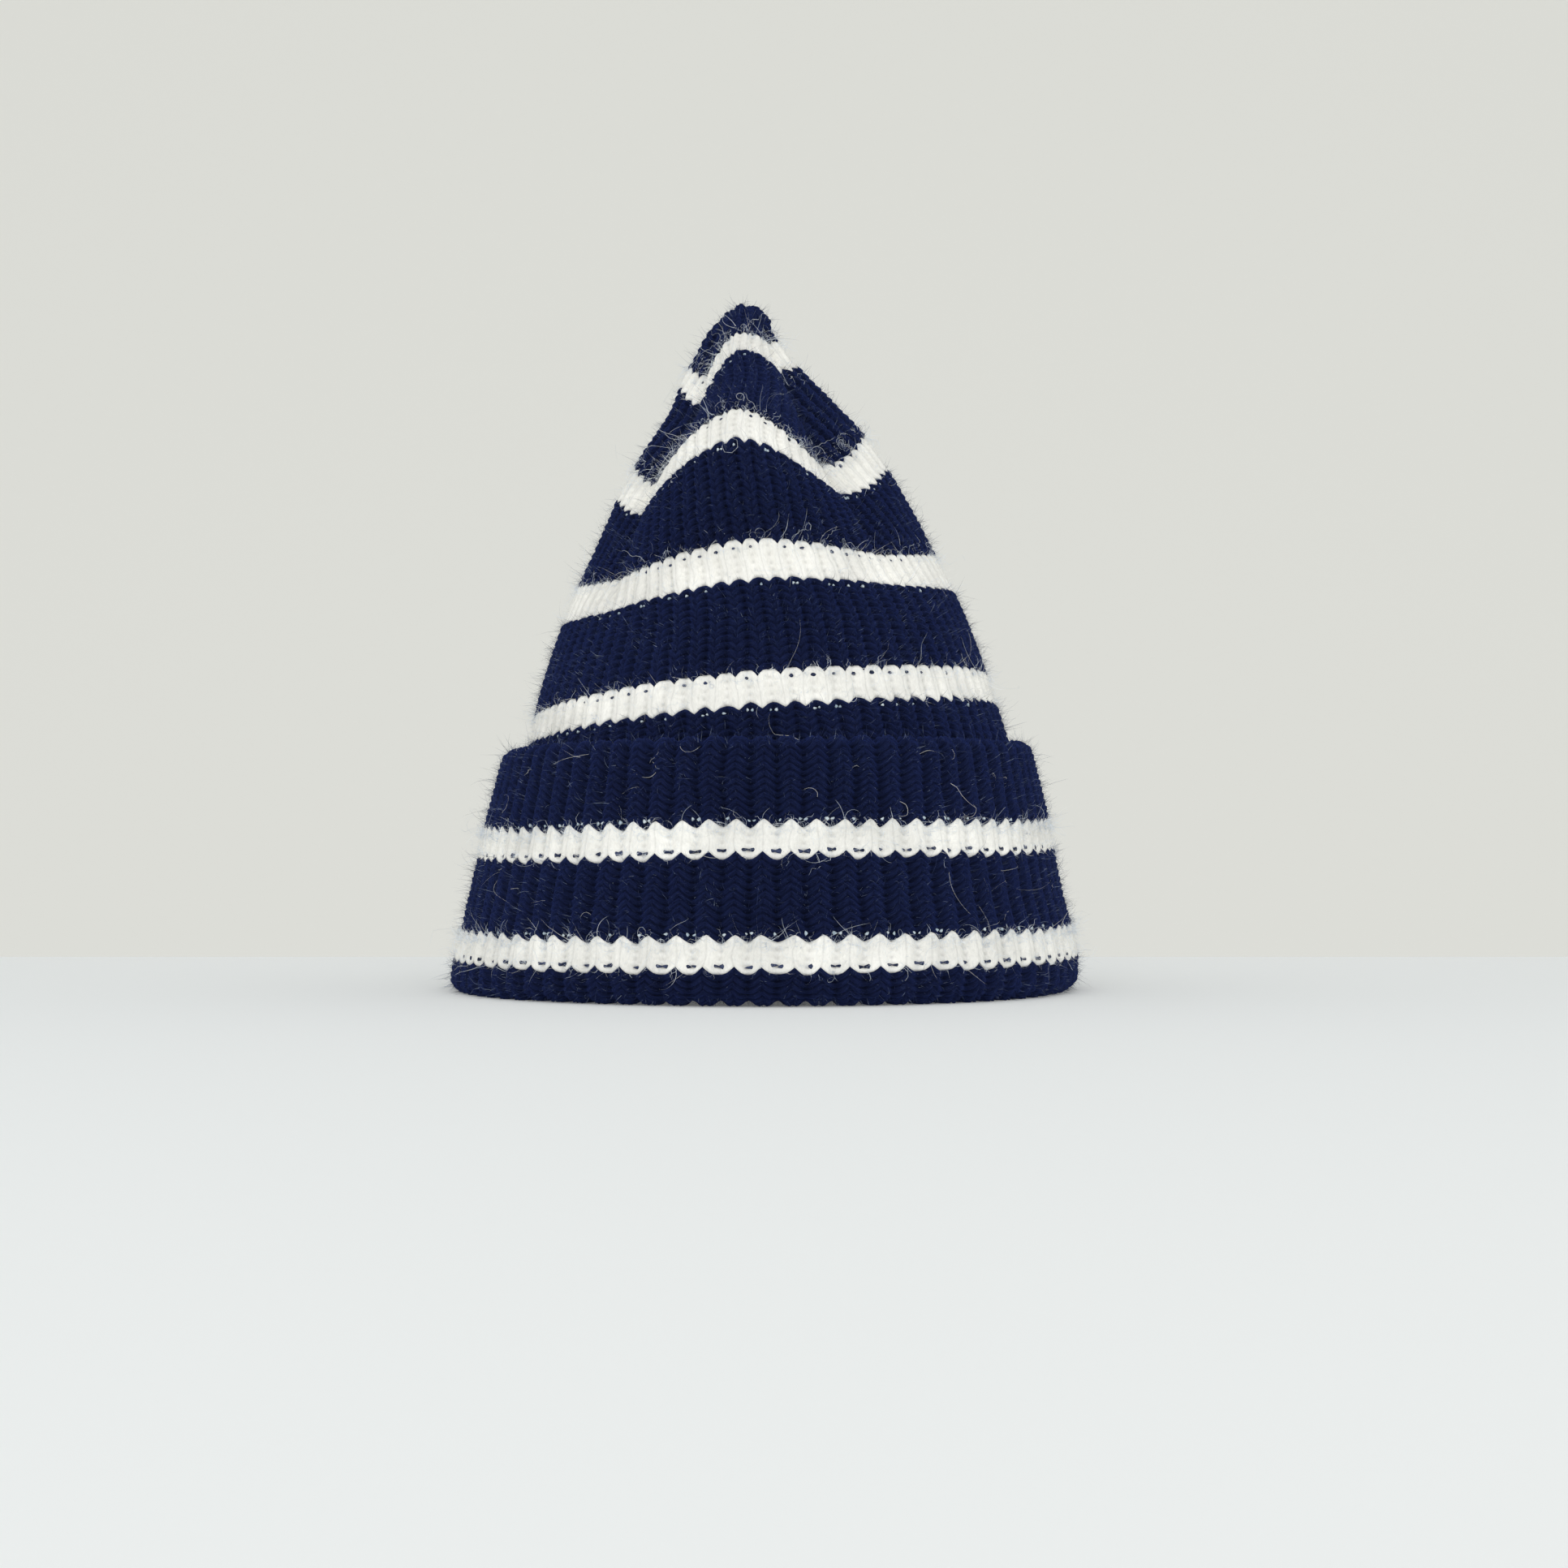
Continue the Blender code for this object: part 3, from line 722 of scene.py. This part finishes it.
def crown_base(start, end, material):
    """The crown's last band, with the hem and the inside of the cuff's lowest part."""
    outer = knitted(crown_point, row_lines(start, BASE_DETAIL, ROW_ON_CROWN))
    down = knitted(crown_point, plain_lines(BASE_DETAIL + PLAIN_ROW, CROWN_FABRIC - SLOT_END))
    up = knitted(cuff_point, plain_lines(SLOT_END - FOLD_ROUND, end), depth=KNIT)
    hem = flipped(knitted(cuff_point, row_lines(HEM_END, end, ROW_ON_CUFF)))
    inner = knitted(crown_point, plain_lines(CROWN_FABRIC - 2 * SLOT_END, start), depth=KNIT)
    knit_piece("crown_base", [outer, down, up, hem, inner], material)
    return outer, hem


def cuff_band(node, start, end, material, leg_relief):
    outer = flipped(knitted(cuff_point, row_lines(start, end, ROW_ON_CUFF), leg_relief))
    inner = knitted(cuff_point, plain_lines(start, end), depth=KNIT)
    knit_piece(node, [outer, inner], material)
    return outer


def cuff_edge(start, material):
    outer = flipped(knitted(cuff_point, row_lines(start, EDGE_END + EDGE_ROUND, ROW_ON_CUFF)))
    inner = knitted(cuff_point, plain_lines(start, EDGE_START - 2 * EDGE_ROUND), depth=KNIT)
    knit_piece("cuff_edge", [outer, inner], material)
    return outer


def ball_points():
    """A ball of radius 1, as rings of points between two poles."""
    points = [(0, 0, 1)]
    for level in GRAIN_LEVELS:
        width = math.sqrt(1 - level ** 2)
        for turn in np.linspace(0, 2 * math.pi, GRAIN_SIDES, endpoint=False):
            points.append((width * math.cos(turn), width * math.sin(turn), level))
    return np.array(points + [(0, 0, -1)])


def ball_faces(sides, levels):
    """Corner numbers and face sizes of a ball of rings between two poles."""
    faces = []
    for side in range(sides):
        after = (side + 1) % sides
        faces.append((0, 1 + side, 1 + after))
        for level in range(levels - 1):
            low, high = 1 + level * sides, 1 + (level + 1) * sides
            faces.append((low + side, high + side, high + after, low + after))
        last = 1 + (levels - 1) * sides
        faces.append((last + side, 1 + levels * sides, last + after))
    return np.concatenate(faces), np.array([len(face) for face in faces])


def beside(face, line, at):
    """From the grid point before one to the grid point after it, around the hat."""
    return face.points[line, (at + 1) % COLUMNS] - face.points[line, at - 1]


def grain(ball, face, line, at, side, size):
    """Points of one loop, taller on its side away from the valley."""
    points = face.points
    step = 1 if line < len(points) / 2 else -1
    facing = face.normals[line, at]
    along = unit(points[line + step, at] - points[line - step, at])
    along *= np.sign(np.cross(facing, beside(face, line, at)) @ along)
    around = np.cross(along, facing)
    middle = (points[line, at] * (1 - GRAIN_ASIDE)
              + points[line, (at - side) % COLUMNS] * GRAIN_ASIDE + facing * GRAIN_LIFT)
    jitter = random.normal(0, GRAIN_JITTER, 3)
    scale = np.array(size) * random.uniform(*GRAIN_SCALE, 3)
    shape = ball.copy()
    shape[:, 1] *= 1 + GRAIN_FLARE * ball[:, 0] * side
    return middle + jitter + shape @ (np.stack((around, along, facing)) * scale[:, None] / 2)


def grains(name, faces, row, material):
    """Loops of the yarn before that show as small grains in one row after a colour change."""
    kind = LOOPS[name]
    ball = ball_points()
    vertices = []
    for face in faces:
        line = row % len(face.points)
        for rib in range(RIBS):
            for side in kind.sides:
                at = (rib * COLUMNS_A_RIB + side) % COLUMNS
                wide = np.linalg.norm(beside(face, line, at)) >= LEAST_GRAIN_ROOM
                if wide and face.free[line, at] >= LEAST_FREE and random.uniform() >= kind.missing:
                    vertices.append(grain(ball, face, line, at, side, kind.size))
    count = len(vertices)
    loops, sizes = ball_faces(GRAIN_SIDES, len(GRAIN_LEVELS))
    loops = (loops[None, :] + np.arange(count)[:, None] * len(ball)).ravel()
    thing = make_mesh(name, np.concatenate(vertices), loops, np.tile(sizes, count), material)
    thing.data.shade_smooth()


def seeds(faces, count, edge_rows):
    """Random roots of fibres, even over the faces or in the rows at their two ends."""
    picks = []
    areas = []
    for face in faces:
        points = face.points
        right = np.roll(points, -1, axis=1) - points
        down = points[1:] - points[:-1]
        area = np.linalg.norm(np.cross(right[:-1], down), axis=2)
        if edge_rows:
            area[edge_rows:-edge_rows] = 0
            area[-edge_rows:] *= FRINGE_BELOW
        areas.append(area)
    total = sum(area.sum() for area in areas)
    for face, area in zip(faces, areas):
        share = int(round(count * area.sum() / total))
        cells = random.choice(area.size, share, p=(area / area.sum()).ravel())
        line, at = np.divmod(cells, COLUMNS)
        u, v = random.uniform(0, 1, (2, share, 1))
        points, after = face.points, (at + 1) % COLUMNS
        root = ((points[line, at] * (1 - u) + points[line, after] * u) * (1 - v)
                + (points[line + 1, at] * (1 - u) + points[line + 1, after] * u) * v)
        down = unit(points[line + 1, at] - points[line, at])
        facing = face.normals[line, at]
        outwards = np.where(line < len(points) / 2, -1, 1)[:, None]
        picks.append((root, facing, down, outwards * down))
    return Seeds(*(np.concatenate(parts) for parts in zip(*picks)))


def turned(vectors, axes, angles):
    """Vectors turned about unit axes."""
    cos, sin = np.cos(angles)[:, None], np.sin(angles)[:, None]
    along = axes * (axes * vectors).sum(axis=1, keepdims=True)
    return vectors * cos + np.cross(axes, vectors) * sin + along * (1 - cos)


def strand_paths(seed, heading, length, lifted, curl, kind):
    """Points along fibres that leave the knit at an angle and turn by a curl on their way."""
    way = heading * np.cos(lifted)[:, None] + seed.facing * np.sin(lifted)[:, None]
    axis = unit(seed.facing * CURL_FLATNESS + random.normal(0, 1, way.shape))
    path = [seed.root]
    for _ in range(kind.steps):
        way = turned(way, axis, curl / kind.steps)
        path.append(path[-1] + way * (length / kind.steps)[:, None])
    path = np.stack(path, axis=1)
    height = ((path[:, 1:] - path[:, :1]) * seed.facing[:, None]).sum(axis=2)
    least = kind.clear * smooth_step(np.arange(1, kind.steps + 1) / 2)
    held = np.maximum(least - height, 0) - np.maximum(height - STRAND_REACH, 0)
    path[:, 1:] += seed.facing[:, None] * held[..., None]
    path[..., 2] = np.maximum(path[..., 2], FLOOR_CLEAR)
    return path


def strands(name, path, width, material):
    """Flat tapering ribbons along the fibres' paths."""
    count, points = path.shape[:2]
    flat = random.normal(0, 1, (count, 1, 3))
    side = unit(np.cross(np.gradient(path, axis=1), flat))[:, :-1]
    taper = np.linspace(1, STRAND_TAPER, points - 1)[None, :, None]
    half = side * taper * width[:, None, None] / 2
    pairs = np.stack((path[:, :-1] + half, path[:, :-1] - half), axis=2).reshape(count, -1, 3)
    vertices = np.concatenate((pairs, path[:, -1:]), axis=1)
    quads = [(2 * k, 2 * k + 1, 2 * k + 3, 2 * k + 2) for k in range(points - 2)]
    last = 2 * (points - 2)
    one = np.concatenate(quads + [(last, last + 1, last + 2)])
    loops = (one[None, :] + np.arange(count)[:, None] * vertices.shape[1]).ravel()
    sizes = np.tile([4] * len(quads) + [3], count)
    make_mesh(name, vertices.reshape(-1, 3), loops, sizes, material)


def fibres(name, faces, material):
    """Loose fibres of one kind, with their roots on the faces."""
    kind = HAIRS[name]
    seed = seeds(faces, kind.count, kind.rows)
    size = len(seed.root)
    if kind.aside:
        heading = turned(seed.outwards, seed.facing, np.radians(random.normal(0, kind.aside, size)))
    else:
        heading = turned(seed.down, seed.facing, random.uniform(-math.pi, math.pi, size))
    length = random.gamma(kind.evenness, kind.length / kind.evenness, size)
    lifted = np.radians(random.uniform(*kind.lifted, size))
    if kind.least_curl:
        curl = random.choice((-1, 1), size) * random.uniform(kind.least_curl, kind.curl, size)
    else:
        curl = random.normal(0, kind.curl, size)
    path = strand_paths(seed, heading, np.minimum(length, kind.longest), lifted, np.radians(curl),
                        kind)
    strands(name, path, random.uniform(*kind.width, size), material)


def fill(tree, node, sockets):
    """Sets each of the node's sockets to a value, or links it to another node's socket."""
    for name, value in sockets.items():
        if isinstance(value, bpy.types.NodeSocket):
            tree.links.new(value, node.inputs[name])
        else:
            node.inputs[name].default_value = value


def add(tree, kind, output, sockets, **settings):
    """One of the outputs of a new node with these settings and sockets."""
    node = tree.nodes.new(kind)
    for name, value in settings.items():
        setattr(node, name, value)
    fill(tree, node, sockets)
    return node.outputs[output]


def noise(tree, **sockets):
    return add(tree, "ShaderNodeTexNoise", "Fac", sockets)


def calculated(tree, operation, first, second):
    return add(tree, "ShaderNodeMath", "Value", {0: first, 1: second}, operation=operation)


def ranged(tree, value, low, high, least, most):
    """A value moved from one range into another."""
    return add(tree, "ShaderNodeMapRange", "Result", {
        "Value": value, "From Min": low, "From Max": high, "To Min": least, "To Max": most})


def mixed(tree, factor, first, second):
    return add(tree, "ShaderNodeMix", "Result", {
        "Factor": factor, "A": (*first, 1.0), "B": (*second, 1.0)}, data_type="RGBA")


def from_line(tree, value, width, least, line=0.0):
    """A factor that falls to its least on the lines where a stitch coordinate is whole."""
    away = calculated(tree, "PINGPONG", calculated(tree, "SUBTRACT", value, line), 0.5)
    return add(tree, "ShaderNodeMapRange", "Result", {
        "Value": away, "From Max": width, "To Min": least}, interpolation_type="SMOOTHSTEP")


def new_material(name, sockets):
    """A material with values on its shader's sockets."""
    material = bpy.data.materials.new(name)
    material.use_nodes = True
    tree = material.node_tree
    shader = tree.nodes["Principled BSDF"]
    fill(tree, shader, sockets)
    return material, tree, shader


def yarn_shade(tree, look, around, along, streaks, place):
    """How light the yarn is: its streaks and slow clouds, with painted shade on the lines between
    stitches and painted shadow in the dots.
    """
    # Painted shadow: dots where a valley between the ribs meets the line between two rows.
    off_both = calculated(tree, "MAXIMUM", from_line(tree, around, DOT_WIDTH, 0.0),
                          from_line(tree, along, DOT_HEIGHT, 0.0))
    product = ranged(tree, streaks, *NOISE_RANGE, 1 - look.contrast, 1 + look.contrast)
    # Slow clouds, then painted shade on the lines between rows and between a column's legs, then the
    # painted shadow dots.
    for factor in (ranged(tree, noise(tree, Vector=place, Scale=CLOUD_SCALE), *NOISE_RANGE, *CLOUDS),
                   from_line(tree, along, ROW_LINE, look.row_shade),
                   from_line(tree, around, LEG_LINE, look.leg_shade, 0.5),
                   ranged(tree, off_both, 0.0, 1.0, 1 - look.dot, 1.0)):
        product = calculated(tree, "MULTIPLY", product, factor)
    return product


def wool(name, look):
    """Brushed wool: streaks along the yarn, with painted shade in the valleys and between the stitches,
    and painted shadow dots.
    """
    material, tree, shader = new_material(name, {
        "Roughness": 0.95, "Specular IOR Level": 0.06, "Sheen Weight": look.sheen,
        "Sheen Roughness": 0.45, "Sheen Tint": (*look.tint, 1.0)})
    material["slot"] = name
    stitches = add(tree, "ShaderNodeUVMap", "UV", {}, uv_map="stitches")
    around, along = (add(tree, "ShaderNodeSeparateXYZ", part, {"Vector": stitches}) for part in "XY")
    place = add(tree, "ShaderNodeTexCoord", "Object", {})
    stretched = add(tree, "ShaderNodeMapping", "Vector", {
        "Vector": stitches, "Scale": (*look.streak, 1.0)})
    streaks = noise(tree, Vector=stretched, Scale=1.0, Detail=4.0, Roughness=0.65, Distortion=0.8)
    nap = noise(tree, Vector=place, Scale=NAP_SCALE, Detail=3.0, Roughness=0.7)
    # Painted shade: the colour turns to the darker valley colour in the valleys between the ribs.
    colour = mixed(tree, from_line(tree, around, look.width, 0.0), look.valley, look.colour)
    shade = yarn_shade(tree, look, around, along, streaks, place)
    shaded = add(tree, "ShaderNodeVectorMath", "Vector", {"Vector": colour, "Scale": shade},
                 operation="SCALE")
    relief = add(tree, "ShaderNodeBump", "Normal", {
        "Strength": look.bump, "Distance": NAP_RELIEF,
        "Height": calculated(tree, "ADD", streaks, nap)})
    fill(tree, shader, {"Base Color": shaded, "Normal": relief})
    return material


def fibre(name):
    """Single fibres, each a little different in colour."""
    look = FIBRES[name]
    material, tree, shader = new_material(name, {"Roughness": 0.8, "Specular IOR Level": 0.15})
    material["slot"] = look.slot
    place = add(tree, "ShaderNodeTexCoord", "Object", {})
    pale = ranged(tree, noise(tree, Vector=place, Scale=FIBRE_SCALE), look.pale_from,
                  look.pale_from + PALE_REACH, 0.0, 1.0)
    fill(tree, shader, {"Base Color": mixed(tree, pale, look.dark, look.light)})
    return material


def paint(name, colour, glow):
    """Matt paint with a faint unevenness, glowing in its own colour as painted light."""
    material, tree, shader = new_material(name, {
        "Roughness": 0.9, "Specular IOR Level": 0.1, "Emission Color": (*colour, 1.0),
        "Emission Strength": glow})
    dark, light = ([part * share for part in colour] for share in (1 - PAINT_SPREAD, 1 + PAINT_SPREAD))
    fill(tree, shader, {"Base Color": mixed(tree, noise(tree, Scale=PAINT_SCALE), dark, light)})
    return material


def flat_sheet(name, first, last, material):
    """A flat part of the stage, all its width, from one (y, z) to another."""
    mesh = bpy.data.meshes.new(name)
    corners = [(-STAGE_SIDE, *first), (STAGE_SIDE, *first), (STAGE_SIDE, *last), (-STAGE_SIDE, *last)]
    mesh.from_pydata(corners, [], [(0, 1, 2, 3)])
    mesh.materials.append(material)
    thing = bpy.data.objects.new(name, mesh)
    bpy.context.scene.collection.objects.link(thing)


def stage():
    table = paint("floor_paint", FLOOR_PAINT, FLOOR_GLOW)
    flat_sheet("floor", (TABLE_FRONT, 0), (TABLE_BACK, 0), table)
    flat_sheet("floor_edge", (TABLE_BACK, -TABLE_EDGE), (TABLE_BACK, 0), table)
    flat_sheet("wall", (WALL_BACK, WALL_FOOT), (WALL_BACK, WALL_TOP),
               paint("wall_paint", WALL_PAINT, WALL_GLOW))


def placed(name, data, place, turn):
    """A camera or lamp in the scene."""
    thing = bpy.data.objects.new(name, data)
    thing.location = place
    thing.rotation_euler = [math.radians(part) for part in turn]
    bpy.context.scene.collection.objects.link(thing)
    return thing


def camera():
    data = bpy.data.cameras.new("camera")
    data.lens = LENS
    data.sensor_width = SENSOR_WIDTH
    bpy.context.scene.camera = placed("camera", data, CAMERA_PLACE, CAMERA_TURN)


def light():
    """Light from all sides, weaker from above, and one large lamp in front."""
    world = bpy.data.worlds.new("studio")
    bpy.context.scene.world = world
    world.use_nodes = True
    tree = world.node_tree
    direction = add(tree, "ShaderNodeTexCoord", "Generated", {})
    up = add(tree, "ShaderNodeSeparateXYZ", "Z", {"Vector": direction})
    strength = ranged(tree, up, 0.0, 1.0, SKY_STRENGTH, SKY_STRENGTH * SKY_TOP)
    fill(tree, tree.nodes["Background"], {"Color": (*SKY, 1.0), "Strength": strength})
    data = bpy.data.lights.new("key", "AREA")
    data.energy = LAMP_POWER
    data.size = LAMP_SIZE
    placed("key", data, LAMP_PLACE, LAMP_TURN)
    bpy.context.scene.view_settings.view_transform = "Standard"


def knit_hat():
    """The knitted bands from the tip down and then up the cuff. Gives their outer faces."""
    navy = wool("navy_wool", NAVY_WOOL)
    white = wool("white_wool", WHITE_WOOL)
    rim, cuff_rim = list(CROWN_CHANGES), list(CUFF_CHANGES)
    dark = [crown_tip(rim[0], navy)]
    stripes = []
    for number in range(1, CROWN_STRIPES + 1):
        start, end = rim[2 * number - 2:2 * number]
        stripes.append(crown_band(f"crown_stripe_{number}", start, end, white, WHITE_LEG))
        if number < CROWN_STRIPES:
            dark.append(crown_band(f"crown_band_{number}", end, rim[2 * number], navy, LEG_RELIEF))
    base, hem = crown_base(rim[-1], cuff_rim[0], navy)
    lower = cuff_band("cuff_stripe_lower", cuff_rim[0], cuff_rim[1], white, WHITE_LEG)
    band = cuff_band("cuff_band", cuff_rim[1], cuff_rim[2], navy, LEG_RELIEF)
    upper = cuff_band("cuff_stripe_upper", cuff_rim[2], cuff_rim[3], white, WHITE_LEG)
    edge = cuff_edge(cuff_rim[3], navy)
    return Hat(dark, stripes, base, hem, lower, band, upper, edge)


def add_loops(hat):
    """Loops of each colour in the other's first row, which is the last in the cuff's faces."""
    speck, dash = fibre("speck_fibre"), fibre("dash_fibre")
    cuff_row = -1 - GRAIN_ROWS
    grains("navy_loops_crown", hat.stripes, GRAIN_ROWS, dash)
    grains("navy_loops_cuff", [hat.lower, hat.upper], cuff_row, dash)
    grains("white_loops_crown", hat.dark[1:] + [hat.base], GRAIN_ROWS, speck)
    grains("white_loops_cuff", [hat.band, hat.edge], cuff_row, speck)


def add_fibres(hat):
    """The nap and the loose fibres. A face that is named more than once gets more of them."""
    navy, white = fibre("navy_fibre"), fibre("white_fibre")
    crown = hat.dark + [Face(*(part[:BASE_LINES] for part in hat.base))]
    cuff = [hat.hem, hat.band, hat.edge]
    fibres("navy_fuzz_crown", crown, navy)
    fibres("navy_fuzz_cuff", cuff, navy)
    fibres("white_fuzz", hat.stripes + [hat.lower, hat.upper], white)
    pale = fibre("fringe_fibre")
    fibres("white_fringe", hat.stripes + [hat.lower, hat.upper] * 2, pale)
    above_white = [flipped(face) for face in hat.dark[:2] * 4 + hat.dark[2:3]]
    fibres("white_tangles", above_white, pale)
    fibres("pale_halo", crown + cuff, fibre("pale_fibre"))
    fibres("stray_hairs", hat.stripes * 2 + [hat.lower, hat.band, hat.upper, hat.edge], white)


hat = knit_hat()
add_loops(hat)
add_fibres(hat)
stage()
camera()
light()
